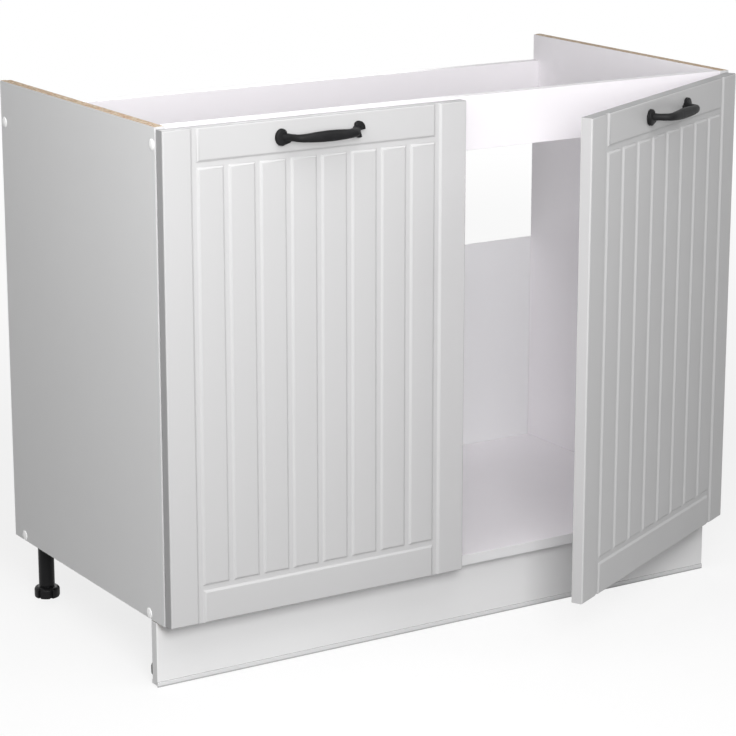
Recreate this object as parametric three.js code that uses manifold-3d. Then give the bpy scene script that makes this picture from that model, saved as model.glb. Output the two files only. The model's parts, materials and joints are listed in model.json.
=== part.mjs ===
// Sink base cabinet: a flat-pack carcass on adjustable legs, with a front rail and a set-down rear
// rail instead of a top, a thin low back, two planked doors on concealed four-bar cup hinges,
// cast bow handles and a clip-on plinth board. Millimetres, +Z up, the front faces -Y.
//
// Everything is first laid out in carcass coordinates: x = 0 in the middle of the width, y = 0 on
// the front edges of the side panels, z = 0 on the floor. The last lines move the origin to the
// middle of the whole object's footprint.

import * as THREE from "three";
import { mergeVertices } from "three/addons/utils/BufferGeometryUtils.js";
import Module from "manifold-3d";

const wasm = await Module();
wasm.setup();

// ---------------------------------------------------------------- driving dimensions

const WIDTH = 1000;
const DEPTH = 500;
const CARCASS_HEIGHT = 720;
const LEG_HEIGHT = 100;
const BOARD = 16;
const SEAT = 0.3; // gap that a piece keeps to the piece it rests on or sits in

const FRONT_RAIL_HEIGHT = 80;
const REAR_RAIL_HEIGHT = 80;
const REAR_RAIL_DROP = 42; // top of the rear rail below the tops of the sides
const BACK_PANEL = { thickness: 3, top: 371, rebateDepth: 4, rebateWidth: 7 };

const DOOR = {
  thickness: 18,
  backGap: 2, // between the door and the front edges of the sides
  sideGap: 1.5, // door edge inside the outer face of the side
  middleGap: 3, // between the two doors
  bottomGap: 2,
  topGap: 3,
  edgeRound: 2.5,
  grooveWidth: 15.6,
  grooveFloor: 5.2, // flat bottom between a groove's two soft flanks
  grooveDepth: 2.8,
  planks: 10, // the first and last are the stiles
  railHeight: 52, // door edge to the middle of a horizontal groove
};
const REST_OPENING = { left: 0, right: 27 }; // degrees

const HANDLE = {
  centres: 126,
  height: 692.5, // above the carcass bottom
  projection: 33.5,
  rosette: { halfWidth: 10, halfHeight: 12.4, thickness: 5.2 },
  gripHalfHeight: 8,
  neckHalfHeight: 4.7,
  gripHalfDepth: 5.8,
  neckHalfDepth: 4.8,
  neckInset: 3, // a neck's root inside the middle of its rosette
  collar: { rise: 1.6, reach: 9 }, // swelling of the neck where it leaves the rosette
};

// Concealed hinge, seen from above for the left-hand door. u runs inwards from the outer face of
// the side panel and v runs into the cabinet from the side panel's front edge.
const HINGE = {
  heights: [94, 614], // above the carcass bottom
  cupCentre: 24,
  cupRadius: 17.2,
  cupDepth: 11.6,
  flangeThickness: 0.8,
  flangeHalfLength: 31,
  flangeHalfWidth: 8,
  screwLine: 29.5,
  fixedOuter: [33.9, 10.2], // outer link's rivet in the arm
  cupOuter: [11.5, -4.7], // outer link's pin in the cup
  fixedInner: [33.8, 19.4], // inner link's rivet in the arm
  cupInner: [10.3, -9.5], // inner link's pin in the cup
  outerRatio: -0.338, // turn of the outer link for each degree of the door
  innerRatio: -0.121, // turn of the inner link for each degree of the door
  pinRadius: 1.3,
  eyeRadius: 2.6,
  strap: 1.9, // thickness of a link
  outerFrom: 2.9, // the outer link's cheeks lie between these distances from the middle
  outerTo: 5.2,
  innerHalf: 2.5,
  armFrom: 5.5,
  armTo: 7,
  plateCentre: 37, // middle of the mounting plate behind the front edge
};

const LEG = {
  x: 463,
  frontY: 72,
  rearY: 470,
  tubeRadius: 12.5,
  collarRadius: 19,
  earRadius: 30,
  boreRadius: 7.6,
  topPlate: 3,
  bottom: 19,
};
const FOOT = { radius: 20, coreRadius: 18.4, rim: 17, shankRadius: 7, shankTop: 66, lobes: 10 };

const PLINTH = { y: 25, thickness: 16, top: 98.5, bottom: 4, edgingHeight: 5.4, corner: 1.5 };
const CLIP = { height: 16, z: 58, jaw: 2.2, base: 2.4, baseHalf: 20, stemHalf: 5 };

const SCREW = { length: 49, headRadius: 4.8, headDepth: 2.6, shankRadius: 3.4, tipRadius: 0.8 };
const CAP = { radius: 7, thickness: 1.6, edge: 0.6 };

// ---------------------------------------------------------------- materials

const finish = (color, roughness, metalness = 0) =>
  new THREE.MeshStandardMaterial({ color, roughness, metalness });
const melamine = () => finish(0xf1f1f0, 0.45);
const foil = () => finish(0xf4f4f3, 0.35);
const hardboard = () => finish(0xe6e5e6, 0.5);
const castIron = () => finish(0x26272a, 0.55, 0.5);
const blackPlastic = () => finish(0x202123, 0.5);
const whitePlastic = () => finish(0xeeeeec, 0.4);
const nickel = () => finish(0xb9bbbd, 0.3, 1);
const zinc = () => finish(0xa9a79e, 0.4, 1);

// ---------------------------------------------------------------- solids and booleans

function toSolid(geometry) {
  let plain = geometry.clone();
  plain.deleteAttribute("normal");
  plain.deleteAttribute("uv");
  plain = mergeVertices(plain, 1e-4);
  return new wasm.Manifold(
    new wasm.Mesh({
      numProp: 3,
      vertProperties: new Float32Array(plain.attributes.position.array),
      triVerts: new Uint32Array(plain.index.array),
    }),
  );
}

function toGeometry(solid) {
  const mesh = solid.getMesh();
  const geometry = new THREE.BufferGeometry();
  geometry.setAttribute("position", new THREE.BufferAttribute(mesh.vertProperties, 3));
  geometry.setIndex(new THREE.BufferAttribute(mesh.triVerts, 1));
  return geometry;
}

const join = (...geometries) =>
  toGeometry(geometries.map(toSolid).reduce((whole, piece) => whole.add(piece)));

const cut = (geometry, ...tools) =>
  toGeometry(tools.map(toSolid).reduce((whole, tool) => whole.subtract(tool), toSolid(geometry)));

// A box between two corners.
function block([x0, y0, z0], [x1, y1, z1]) {
  const geometry = new THREE.BoxGeometry(x1 - x0, y1 - y0, z1 - z0);
  return geometry.translate((x0 + x1) / 2, (y0 + y1) / 2, (z0 + z1) / 2);
}

// An outline in x and y, drawn upwards from z0 to z1.
function prism(shape, z0, z1, curveSegments = 6) {
  const settings = { depth: z1 - z0, bevelEnabled: false, curveSegments };
  return new THREE.ExtrudeGeometry(shape, settings).translate(0, 0, z0);
}

const outline = (points) => new THREE.Shape(points.map(([x, y]) => new THREE.Vector2(x, y)));

// A round bar along z between z0 and z1.
function bar(radius, x, y, z0, z1, segments = 8) {
  const geometry = new THREE.CylinderGeometry(radius, radius, z1 - z0, segments);
  return geometry.rotateX(Math.PI / 2).translate(x, y, (z0 + z1) / 2);
}

// A body of revolution about z, from pairs of radius and height.
function turnedBody(profile, segments) {
  const points = profile.map(([radius, height]) => new THREE.Vector2(radius, height));
  return new THREE.LatheGeometry(points, segments).rotateX(Math.PI / 2);
}

// A copy reflected left to right, with its faces turned round again.
function mirrored(geometry) {
  const copy = geometry.clone().scale(-1, 1, 1);
  if (!copy.index) {
    const count = copy.attributes.position.count;
    copy.setIndex([...Array(count).keys()]);
  }
  const index = copy.index.array;
  for (let i = 0; i < index.length; i += 3) {
    [index[i], index[i + 2]] = [index[i + 2], index[i]];
  }
  return copy;
}

function part(name, geometry, material, x = 0, y = 0, z = 0) {
  const mesh = new THREE.Mesh(geometry, material);
  mesh.name = name;
  mesh.position.set(x, y, z);
  return mesh;
}

// A group whose children, laid out in carcass coordinates, are turned about an upright axis.
function turnedAbout([x, y], degrees, children) {
  const inner = new THREE.Group();
  inner.position.set(-x, -y, 0);
  inner.add(...children);
  const outer = new THREE.Group();
  outer.position.set(x, y, 0);
  outer.rotation.z = THREE.MathUtils.degToRad(degrees);
  outer.add(inner);
  return outer;
}

// ---------------------------------------------------------------- connecting screws and caps

const carcassBottom = LEG_HEIGHT;
const carcassTop = LEG_HEIGHT + CARCASS_HEIGHT;
const insideHalf = WIDTH / 2 - BOARD;
const rebateFront = DEPTH - BACK_PANEL.rebateDepth;

// Places on a side panel where a screw goes through into the end of another board.
const SCREW_PLACES = [
  { name: "upper_front", y: BOARD / 2, z: carcassBottom + 695 },
  { name: "upper_rear", y: rebateFront - BOARD / 2, z: carcassBottom + 658 },
  { name: "lower_front", y: 45, z: carcassBottom + BOARD / 2 },
  { name: "lower_rear", y: 465, z: carcassBottom + BOARD / 2 },
];

// The screw lies along +x with its head at x = 0, for the left side; grow widens it for its bore.
function screwForm(grow = 0) {
  const { length, headRadius, headDepth, shankRadius, tipRadius } = SCREW;
  const head = grow > 0 ? -1 : 0;
  const profile = [
    [0, head],
    [headRadius + grow, head],
    [headRadius + grow, grow],
    [shankRadius + grow, headDepth + grow],
    [shankRadius + grow, length - 5],
    [tipRadius + grow, length + grow],
    [0, length + grow],
  ];
  return turnedBody(profile, 8).rotateY(Math.PI / 2);
}

const screwDepth = 0.6; // head below the face of the side panel
const boreTools = (side) =>
  SCREW_PLACES.map(({ y, z }) => {
    const tool = screwForm(SEAT + 0.1).translate(-WIDTH / 2 + screwDepth, y, z);
    return side < 0 ? tool : mirrored(tool);
  });

function capForm() {
  const { radius, thickness, edge } = CAP;
  const profile = [
    [0, 0],
    [radius, 0],
    [radius, thickness - edge],
    [radius - edge * 2, thickness],
    [0, thickness],
  ];
  return turnedBody(profile, 12).rotateY(-Math.PI / 2);
}

function fastenings(side, label) {
  const screw = side < 0 ? screwForm() : mirrored(screwForm());
  const cap = side < 0 ? capForm() : mirrored(capForm());
  const face = (side * WIDTH) / 2;
  return SCREW_PLACES.flatMap(({ name, y, z }) => [
    part(`screw_${label}_${name}`, screw, zinc(), face - side * screwDepth, y, z),
    part(`cap_${label}_${name}`, cap, whitePlastic(), face + side * SEAT, y, z),
  ]);
}

// ---------------------------------------------------------------- carcass panels

function sidePanel(side) {
  const panel = block([-WIDTH / 2, 0, carcassBottom], [-insideHalf, DEPTH, carcassTop]);
  const rebate = block(
    [-insideHalf - BACK_PANEL.rebateWidth, rebateFront, carcassBottom - 1],
    [-insideHalf + 1, DEPTH + 1, carcassTop + 1],
  );
  const shaped = cut(panel, rebate, ...boreTools(-1));
  return side < 0 ? shaped : mirrored(shaped);
}

// A board between the sides, bored at both ends for the screws that reach it.
function crossBoard(y0, y1, z0, z1) {
  const board = block([-insideHalf + SEAT, y0, z0], [insideHalf - SEAT, y1, z1]);
  return cut(board, ...boreTools(-1), ...boreTools(1));
}

function carcass() {
  const rearTop = carcassTop - REAR_RAIL_DROP;
  const backHalf = insideHalf + BACK_PANEL.rebateWidth - SEAT;
  const back = block(
    [-backHalf, rebateFront + SEAT, carcassBottom + 0.5],
    [backHalf, rebateFront + SEAT + BACK_PANEL.thickness, carcassBottom + BACK_PANEL.top],
  );
  return [
    part("side_panel_left", sidePanel(-1), melamine()),
    part("side_panel_right", sidePanel(1), melamine()),
    part("bottom_panel", crossBoard(0, rebateFront, carcassBottom, carcassBottom + BOARD), melamine()),
    part("front_rail", crossBoard(0, BOARD, carcassTop - FRONT_RAIL_HEIGHT, carcassTop), melamine()),
    part(
      "rear_rail",
      crossBoard(rebateFront - BOARD, rebateFront, rearTop - REAR_RAIL_HEIGHT, rearTop),
      melamine(),
    ),
    part("back_panel", back, hardboard()),
    ...fastenings(-1, "left"),
    ...fastenings(1, "right"),
  ];
}

// ---------------------------------------------------------------- doors

const doorWidth = WIDTH / 2 - DOOR.sideGap - DOOR.middleGap / 2;
const doorBack = -DOOR.backGap;
const doorFront = doorBack - DOOR.thickness;
const doorBottom = carcassBottom + DOOR.bottomGap;
const doorTop = carcassTop - DOOR.topGap;
const doorHeight = doorTop - doorBottom;

// A groove's cutting tool lying along x from 0 to its length: each flank falls like half a cosine
// wave from the door's face to the flat floor.
function grooveTool(length) {
  const steps = 3;
  const { grooveWidth, grooveFloor, grooveDepth } = DOOR;
  const flank = (grooveWidth - grooveFloor) / 2;
  const fall = (t) => (grooveDepth * (1 - Math.cos(Math.PI * t))) / 2;
  const points = [];
  for (let i = 0; i <= steps; i += 1) {
    points.push([-grooveWidth / 2 + (i / steps) * flank, fall(i / steps)]);
  }
  for (let i = steps; i >= 0; i -= 1) {
    points.push([grooveWidth / 2 - (i / steps) * flank, fall(i / steps)]);
  }
  points.push([grooveWidth / 2, -1], [-grooveWidth / 2, -1]);
  const tool = prism(outline(points.reverse()), 0, length);
  // outline x -> z, outline y -> y, drawn direction -> x
  return tool.applyMatrix4(new THREE.Matrix4().set(0, 0, 1, 0, 0, 1, 0, 0, -1, 0, 0, 0, 0, 0, 0, 1));
}

// The front edges are rounded by cutting away the corner outside a quarter circle.
function edgeTool(length) {
  const r = DOOR.edgeRound;
  const points = [[-1, -1], [r, -1], [r, 0]];
  const steps = 3;
  for (let i = 1; i < steps; i += 1) {
    const a = (Math.PI / 2) * (i / steps);
    points.push([r - r * Math.sin(a), r - r * Math.cos(a)]);
  }
  points.push([0, r], [-1, r]);
  const tool = prism(outline(points), 0, length);
  // outline x -> z, outline y -> y, drawn direction -> x
  return tool.applyMatrix4(
    new THREE.Matrix4().set(0, 0, -1, length, 0, 1, 0, 0, 1, 0, 0, 0, 0, 0, 0, 1),
  );
}

// The left-hand door, with its hinge edge at the lower x.
function doorPanel() {
  const x0 = -WIDTH / 2 + DOOR.sideGap;
  const x1 = x0 + doorWidth;
  const plankWidth = doorWidth / DOOR.planks;
  const lowGroove = doorBottom + DOOR.railHeight;
  const highGroove = doorTop - DOOR.railHeight;
  const tools = [];
  const upright = (tool, x, z0) => tool.rotateY(-Math.PI / 2).translate(x, doorFront, z0);
  for (let i = 1; i < DOOR.planks; i += 1) {
    const x = x0 + i * plankWidth;
    const full = i === 1 || i === DOOR.planks - 1;
    const z0 = full ? doorBottom - 1 : lowGroove;
    const z1 = full ? doorTop + 1 : highGroove;
    tools.push(upright(grooveTool(z1 - z0), x, z0));
  }
  for (const z of [lowGroove, highGroove]) {
    tools.push(grooveTool(doorWidth - 2 * plankWidth).translate(x0 + plankWidth, doorFront, z));
  }
  const long = edgeTool(doorHeight + 2);
  const short = edgeTool(doorWidth + 2);
  tools.push(
    short.clone().translate(x0 - 1, doorFront, doorBottom),
    mirroredUp(short).translate(x0 - 1, doorFront, doorTop),
    mirrored(upright(long.clone(), 0, 0)).translate(x0, 0, doorBottom - 1),
    upright(long.clone(), x1, doorBottom - 1),
  );
  for (const height of HINGE.heights) {
    const z = carcassBottom + height;
    const bore = new THREE.CylinderGeometry(HINGE.cupRadius + SEAT, HINGE.cupRadius + SEAT, 40, 20);
    const boreBottom = doorBack - HINGE.cupDepth - SEAT;
    tools.push(bore.translate(-WIDTH / 2 + HINGE.cupCentre, boreBottom + 20, z));
  }
  return cut(block([x0, doorFront, doorBottom], [x1, doorBack, doorTop]), ...tools);
}

// A copy reflected upside down, with its faces turned round again.
function mirroredUp(geometry) {
  return mirrored(geometry.clone().rotateY(Math.PI / 2)).rotateY(-Math.PI / 2);
}

// ---------------------------------------------------------------- bow handle

// One closed skin through a row of oval sections.
function loft(sections, ringPoints) {
  const vertices = [];
  const faces = [];
  for (const { centre, across, up, halfDepth, halfHeight } of sections) {
    for (let j = 0; j < ringPoints; j += 1) {
      const a = (2 * Math.PI * j) / ringPoints;
      const point = centre.clone();
      point.addScaledVector(across, halfDepth * Math.cos(a));
      point.addScaledVector(up, halfHeight * Math.sin(a));
      vertices.push(point.x, point.y, point.z);
    }
  }
  const rows = sections.length;
  for (let i = 0; i < rows - 1; i += 1) {
    for (let j = 0; j < ringPoints; j += 1) {
      const [a, b] = [i * ringPoints + j, i * ringPoints + ((j + 1) % ringPoints)];
      const [c, d] = [a + ringPoints, b + ringPoints];
      faces.push(a, b, c, b, d, c);
    }
  }
  const start = vertices.length / 3;
  const end = start + 1;
  vertices.push(...sections[0].centre.toArray(), ...sections[rows - 1].centre.toArray());
  for (let j = 0; j < ringPoints; j += 1) {
    const k = (j + 1) % ringPoints;
    faces.push(start, k, j);
    faces.push(end, (rows - 1) * ringPoints + j, (rows - 1) * ringPoints + k);
  }
  const geometry = new THREE.BufferGeometry();
  geometry.setAttribute("position", new THREE.Float32BufferAttribute(vertices, 3));
  geometry.setIndex(faces);
  return geometry;
}

// The handle stands on the plane y = 0 and bows out to -y, centred on x = z = 0.
function handleForm() {
  const { neckHalfDepth, neckHalfHeight, gripHalfDepth, gripHalfHeight, collar } = HANDLE;
  const half = HANDLE.centres / 2;
  const root = half - HANDLE.neckInset;
  const reach = HANDLE.projection - gripHalfDepth;
  const arch = [[root, 0], [root - 6.8, 0.43], [root - 13.5, 0.86], [root - 26.6, 1]];
  const path = new THREE.CatmullRomCurve3(
    [...arch.map(([x, t]) => [-x, t]), [0, 1], ...arch.reverse()].map(
      ([x, t]) => new THREE.Vector3(x, -1 - t * (reach - 1), 0),
    ),
  );
  const steps = 16;
  const up = new THREE.Vector3(0, 0, 1);
  const sections = [];
  for (let i = 0; i <= steps; i += 1) {
    const centre = path.getPointAt(i / steps);
    const across = new THREE.Vector3().crossVectors(up, path.getTangentAt(i / steps)).normalize();
    if (i === 0 || i === steps) {
      across.set(Math.sign(-centre.x), 0, 0); // the leaning legs end flat inside the rosettes
    }
    const swell = Math.cos((Math.PI / 2) * Math.min(1, Math.abs(centre.x) / root)) ** 1.4;
    const flare = collar.rise * Math.max(0, 1 + centre.y / collar.reach) ** 2;
    sections.push({
      centre,
      across,
      up,
      halfDepth: THREE.MathUtils.lerp(neckHalfDepth, gripHalfDepth, swell) + flare,
      halfHeight: THREE.MathUtils.lerp(neckHalfHeight, gripHalfHeight, swell) + flare,
    });
  }
  const { halfWidth, halfHeight, thickness } = HANDLE.rosette;
  const rosetteProfile = [
    [0, 0],
    [halfWidth, 0],
    [halfWidth, thickness * 0.45],
    [halfWidth * 0.86, thickness * 0.85],
    [halfWidth * 0.6, thickness],
    [0, thickness],
  ];
  const rosette = turnedBody(rosetteProfile, 14)
    .rotateX(Math.PI / 2)
    .scale(1, 1, halfHeight / halfWidth);
  return join(
    loft(sections, 10),
    rosette.clone().translate(-half, 0, 0),
    rosette.clone().translate(half, 0, 0),
  );
}

// ---------------------------------------------------------------- concealed hinge

// The strap of a link: a band of even thickness along a smooth centre line.
function strapOutline(points, steps) {
  const curve = new THREE.CatmullRomCurve3(points.map(([u, v]) => new THREE.Vector3(u, v, 0)));
  const left = [];
  const right = [];
  for (let i = 0; i <= steps; i += 1) {
    const at = curve.getPointAt(i / steps);
    const along = curve.getTangentAt(i / steps);
    const [nx, ny] = [(-along.y * HINGE.strap) / 2, (along.x * HINGE.strap) / 2];
    left.push([at.x + nx, at.y + ny]);
    right.push([at.x - nx, at.y - ny]);
  }
  return outline([...right, ...left.reverse()]);
}

// The outer link reaches round the inner link with two cheeks that meet in the barrel on the arm.
function outerLink() {
  const { fixedOuter, cupOuter, outerTo, outerFrom, eyeRadius, pinRadius } = HINGE;
  const centreLine = [fixedOuter, [28.6, 4.4], [24.4, -2.2], [19, -6.9], [14.6, -7.2], cupOuter];
  const strap = prism(strapOutline(centreLine, 9), -outerTo, outerTo);
  const [ax, ay] = fixedOuter;
  const [bx, by] = cupOuter;
  const body = join(
    strap,
    bar(eyeRadius, ax, ay, -outerTo, outerTo, 10),
    bar(eyeRadius, bx, by, -outerTo, outerTo, 10),
  );
  const fork = block([bx - 6, by - 8, -outerFrom], [ax - 6.2, ay + 4, outerFrom]);
  const hole = pinRadius + SEAT;
  return cut(
    body,
    fork,
    bar(hole, ax, ay, -outerTo - 1, outerTo + 1),
    bar(hole, bx, by, -outerTo - 1, outerTo + 1),
  );
}

// The inner link turns on the cup's deep pin, and its slot slides a little on the arm's rear rivet.
function innerLink() {
  const { fixedInner, cupInner, innerHalf, eyeRadius, pinRadius } = HINGE;
  const centreLine = [cupInner, [16, -10.8], [20.8, -10], [23.4, -5], [23.6, 4], [26, 12], fixedInner];
  const [cx, cy] = fixedInner;
  const [dx, dy] = cupInner;
  const travel = 1.7; // of the rivet each way along the slot
  const slotRadius = pinRadius + 1.1;
  const towardCup = Math.atan2(dy - cy, dx - cx);
  const slotOutline = (radius) => {
    const shape = new THREE.Shape();
    shape.absarc(travel, 0, radius, -Math.PI / 2, Math.PI / 2, false);
    shape.absarc(-travel, 0, radius, Math.PI / 2, (3 * Math.PI) / 2, false);
    return shape;
  };
  const slotted = (radius, half) =>
    prism(slotOutline(radius), -half, half, 4).rotateZ(towardCup).translate(cx, cy, 0);
  const body = join(
    prism(strapOutline(centreLine, 10), -innerHalf, innerHalf),
    slotted(slotRadius + 1, innerHalf),
    bar(pinRadius + SEAT + 0.9, dx, dy, -innerHalf, innerHalf, 10),
  );
  return cut(
    body,
    slotted(slotRadius, innerHalf + 1),
    bar(pinRadius + SEAT, dx, dy, -innerHalf - 1, innerHalf + 1),
  );
}

// The cup: a round well with a flange on the door's back, an open mouth and two fixed pins.
function hingeCup() {
  const { cupCentre, cupRadius, cupDepth, pinRadius, outerFrom, outerTo } = HINGE;
  const well = new THREE.CylinderGeometry(cupRadius, cupRadius, cupDepth + SEAT, 20);
  well.translate(cupCentre, doorBack - cupDepth / 2 + SEAT / 2, 0);
  const flangeBack = doorBack + SEAT - 0.05;
  const flangeFront = flangeBack + HINGE.flangeThickness;
  const wing = flangeOutline();
  const flange = prism(wing, 0, flangeFront - flangeBack, 4)
    .applyMatrix4(new THREE.Matrix4().set(1, 0, 0, 0, 0, 0, 1, 0, 0, -1, 0, 0, 0, 0, 0, 1))
    .translate(0, flangeBack, 0);
  const floor = doorBack - cupDepth + 0.8;
  const mouthHalf = outerTo + 0.5;
  const mouth = block([8.3, floor, -mouthHalf], [cupCentre + 15.6, 5, mouthHalf]);
  const relief = block([7.4, floor, -innerReach()], [cupCentre, 5, innerReach()]);
  const [bx, by] = HINGE.cupOuter;
  const [dx, dy] = HINGE.cupInner;
  const stub = mouthHalf + 0.6;
  const pins = [
    bar(pinRadius, bx, by, outerFrom + 0.1, stub),
    bar(pinRadius, bx, by, -stub, -outerFrom - 0.1),
    bar(pinRadius, dx, dy, -stub, stub),
  ];
  return join(cut(join(well, flange), mouth, relief), ...pins);
}

const innerReach = () => HINGE.innerHalf + 0.4;

// Flange in u and -z: a disc over the well with a wing above and below it for the two screws.
function flangeOutline() {
  const { cupCentre, cupRadius, flangeHalfLength, flangeHalfWidth, screwLine } = HINGE;
  const disc = cupRadius + 1.6;
  const shape = new THREE.Shape();
  const wingTop = flangeHalfLength - flangeHalfWidth;
  const [left, right] = [screwLine - flangeHalfWidth, screwLine + flangeHalfWidth];
  const startAngle = Math.acos((left - cupCentre) / disc);
  const endAngle = Math.acos((right - cupCentre) / disc);
  shape.absarc(cupCentre, 0, disc, startAngle, 2 * Math.PI - startAngle, false);
  shape.absarc(screwLine, -wingTop, flangeHalfWidth, Math.PI, 2 * Math.PI, false);
  shape.absarc(cupCentre, 0, disc, 2 * Math.PI - endAngle, 2 * Math.PI + endAngle, false);
  shape.absarc(screwLine, wingTop, flangeHalfWidth, 0, Math.PI, false);
  return shape;
}

// The arm: two cheeks that carry the rivets, and a web that clips over the mounting plate.
function hingeArm() {
  const { fixedOuter, fixedInner, armFrom, armTo, pinRadius } = HINGE;
  const cheek = outline([
    [19.2, 58], [19.2, 30], [23, 25], [28.6, 15], [29.8, 8.4], [32, 6.4], [35.8, 6.4],
    [38, 8.6], [38, 21.4], [35.4, 26], [29, 33], [29, 58],
  ].reverse());
  const web = outline([[27.5, 58.1], [27.5, 33.4], [34.2, 25.6], [35.3, 26.1], [29.1, 33], [29.1, 58.1]]);
  return join(
    prism(cheek, armFrom, armTo),
    prism(cheek, -armTo, -armFrom),
    prism(web, -armTo + 0.01, armTo - 0.01),
    bar(pinRadius, ...fixedOuter, -armTo - 0.6, armTo + 0.6),
    bar(pinRadius, ...fixedInner, -armTo - 0.6, armTo + 0.6),
  );
}

// The mounting plate: a winged base on the side panel with a raised rail inside the arm.
function mountingPlate() {
  const { plateCentre, armFrom } = HINGE;
  const base = BOARD + SEAT;
  const wing = new THREE.Shape();
  const [half, round] = [16, 6.5];
  wing.absarc(plateCentre, half, round, 0, Math.PI, false);
  wing.lineTo(plateCentre - round, 7);
  wing.lineTo(plateCentre - 17, 7);
  wing.lineTo(plateCentre - 17, -7);
  wing.lineTo(plateCentre - round, -7);
  wing.absarc(plateCentre, -half, round, Math.PI, 2 * Math.PI, false);
  wing.lineTo(plateCentre + round, -7);
  wing.lineTo(plateCentre + 18, -7);
  wing.lineTo(plateCentre + 18, 7);
  wing.lineTo(plateCentre + round, 7);
  // outline x -> v, outline y -> z, drawn direction -> u
  const plate = prism(wing, 0, 2.4, 4)
    .applyMatrix4(new THREE.Matrix4().set(0, 0, 1, 0, 1, 0, 0, 0, 0, 1, 0, 0, 0, 0, 0, 1))
    .translate(base, 0, 0);
  const ridge = block(
    [base + 1, plateCentre - 9, -armFrom + SEAT],
    [27.5 - SEAT, plateCentre + 17, armFrom - SEAT],
  );
  return join(plate, ridge);
}

const LINK_PIVOTS = {
  outerFixed: HINGE.fixedOuter,
  outerCup: HINGE.cupOuter,
  innerCup: HINGE.cupInner,
};

// ---------------------------------------------------------------- a door with all it carries

function doorAssembly(side, label) {
  const hand = (geometry) => (side < 0 ? geometry : mirrored(geometry));
  const face = (side * WIDTH) / 2;
  const pivot = (name) => [face - side * LINK_PIVOTS[name][0], LINK_PIVOTS[name][1]];
  const turn = side * REST_OPENING[label]; // the left door opens clockwise seen from above
  const forms = {
    hinge_cup: [hand(hingeCup()), nickel],
    inner_link: [hand(innerLink()), nickel],
    outer_link: [hand(outerLink()), nickel],
    hinge_arm: [hand(hingeArm()), nickel],
    hinge_plate: [hand(mountingPlate()), nickel],
  };
  const perHinge = (kind) =>
    ["lower", "upper"].map((level, i) => {
      const [geometry, material] = forms[kind];
      const z = carcassBottom + HINGE.heights[i];
      return part(`${kind}_${label}_${level}`, geometry, material(), face, 0, z);
    });
  const handle = part(
    `handle_${label}`,
    handleForm(),
    castIron(),
    side * (DOOR.middleGap / 2 + doorWidth / 2),
    doorFront - SEAT,
    carcassBottom + HANDLE.height,
  );
  const door = part(`door_${label}`, hand(doorPanel()), foil());
  const innerTurn = turn * (HINGE.innerRatio - 1);
  const links = turnedAbout(pivot("innerCup"), innerTurn, perHinge("inner_link"));
  const doorTurn = turn * (1 - HINGE.outerRatio);
  const swung = turnedAbout(pivot("outerCup"), doorTurn, [
    door,
    handle,
    ...perHinge("hinge_cup"),
    links,
  ]);
  const outer = turnedAbout(pivot("outerFixed"), turn * HINGE.outerRatio, [
    ...perHinge("outer_link"),
    swung,
  ]);
  return [outer, ...perHinge("hinge_arm"), ...perHinge("hinge_plate")];
}

// ---------------------------------------------------------------- legs and feet

function legForm() {
  const top = LEG_HEIGHT - SEAT;
  const { tubeRadius, collarRadius, boreRadius, topPlate, bottom } = LEG;
  const body = turnedBody(
    [
      [0, FOOT.shankTop + 6],
      [boreRadius, FOOT.shankTop + 6],
      [boreRadius, bottom],
      [tubeRadius, bottom],
      [tubeRadius, top - 11],
      [tubeRadius + 2.5, top - 8],
      [collarRadius, top - topPlate],
      [collarRadius, top],
      [0, top],
    ],
    16,
  );
  const ears = new THREE.Shape();
  const earRound = 6;
  const reach = LEG.earRadius - earRound;
  for (let i = 0; i < 4; i += 1) {
    const a = Math.PI / 4 + (i * Math.PI) / 2;
    const [x, y] = [reach * Math.cos(a), reach * Math.sin(a)];
    ears.absarc(x, y, earRound, a - Math.PI / 2, a + Math.PI / 2, false);
  }
  const ribs = [0, 1].map((i) => {
    const a = Math.PI / 4 + (i * Math.PI) / 2;
    const rib = outline([[-25, top - 2], [-tubeRadius + 1, top - 24], [tubeRadius - 1, top - 24], [25, top - 2]]);
    return prism(rib, -0.9, 0.9).rotateX(Math.PI / 2).rotateZ(a);
  });
  const bored = bar(boreRadius, 0, 0, bottom - 1, FOOT.shankTop + 6, 16);
  const holes = [0, 1, 2, 3].map((i) => {
    const a = Math.PI / 4 + (i * Math.PI) / 2;
    return bar(2.2, (reach + 1) * Math.cos(a), (reach + 1) * Math.sin(a), top - 9, top + 1, 6);
  });
  return cut(join(body, prism(ears, top - topPlate, top, 3), ...ribs), bored, ...holes);
}

function footForm() {
  const { radius, coreRadius, rim, shankRadius, shankTop, lobes } = FOOT;
  const core = turnedBody(
    [
      [0, 0],
      [coreRadius - 0.8, 0],
      [coreRadius, 1],
      [coreRadius, rim - 3],
      [coreRadius - 2.4, rim],
      [shankRadius + 1, rim + 0.6],
      [shankRadius, rim + 1.6],
      [shankRadius, shankTop],
      [0, shankTop],
    ],
    16,
  );
  const grip = new THREE.Shape();
  for (let i = 0; i < lobes; i += 1) {
    const a = (2 * Math.PI * i) / lobes;
    const quarter = (2 * Math.PI) / lobes / 4;
    const corners = [
      [radius, a - quarter * 1.3],
      [radius, a + quarter * 1.3],
      [coreRadius - 1, a + quarter * 1.7],
      [coreRadius - 1, a + quarter * 2.3],
    ];
    for (const [r, angle] of corners) {
      const [x, y] = [r * Math.cos(angle), r * Math.sin(angle)];
      if (i === 0 && r === radius && angle < 0) {
        grip.moveTo(x, y);
      } else {
        grip.lineTo(x, y);
      }
    }
  }
  return join(core, prism(grip, 1.2, rim - 3.4));
}

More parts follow.
